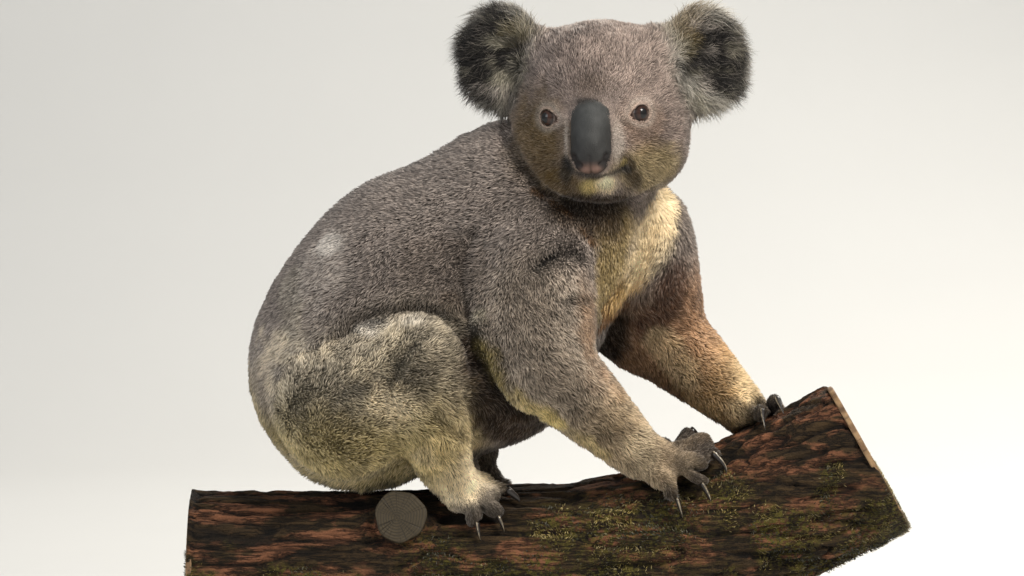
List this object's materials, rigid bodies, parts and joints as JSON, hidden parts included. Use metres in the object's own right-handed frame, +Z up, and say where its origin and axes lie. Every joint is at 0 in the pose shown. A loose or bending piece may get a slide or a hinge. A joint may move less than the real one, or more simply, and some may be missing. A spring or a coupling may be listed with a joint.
{
  "type": "koala",
  "caption": "Still life-size koala sitting on a cut length of branch with its head turned aside, held by a flat display base with short rods.",
  "frame": {"origin": "middle of the display base's underside", "axes": "+X along the branch towards the animal's front, -Y the side its head is turned to, +Z up"},
  "size_m": [0.6197, 0.2836, 0.6292],
  "materials": {
    "fur": "matte",
    "ear_fur": "matte",
    "nose_leather": "satin",
    "eye": "polished",
    "claw": "satin",
    "bark": "matte",
    "base_wood": "satin",
    "rod_steel": "satin"
  },
  "bodies": {
    "root": {"stand_base": "base_wood", "stand_rod_back": "rod_steel", "stand_rod_front": "rod_steel", "perch_branch": "bark", "nose": "nose_leather", "eye_left": "eye", "eye_right": "eye", "head": "fur", "ear_left": "ear_fur", "ear_right": "ear_fur", "trunk": "fur", "neck": "fur", "thigh_left": "fur", "shank_left": "fur", "upper_arm_left": "fur", "forearm_left": "fur", "hand_left": "fur", "claw_hand_left_1": "claw", "claw_hand_left_2": "claw", "claw_hand_left_3": "claw", "claw_hand_left_4": "claw", "claw_hand_left_5": "claw", "foot_left": "fur", "claw_foot_left_1": "claw", "claw_foot_left_2": "claw", "claw_foot_left_3": "claw", "thigh_right": "fur", "shank_right": "fur", "upper_arm_right": "fur", "forearm_right": "fur", "hand_right": "fur", "claw_hand_right_1": "claw", "claw_hand_right_2": "claw", "claw_hand_right_3": "claw", "claw_hand_right_4": "claw", "claw_hand_right_5": "claw", "foot_right": "fur", "claw_foot_right_1": "claw", "claw_foot_right_2": "claw", "claw_foot_right_3": "claw"}
  },
  "joints": []
}
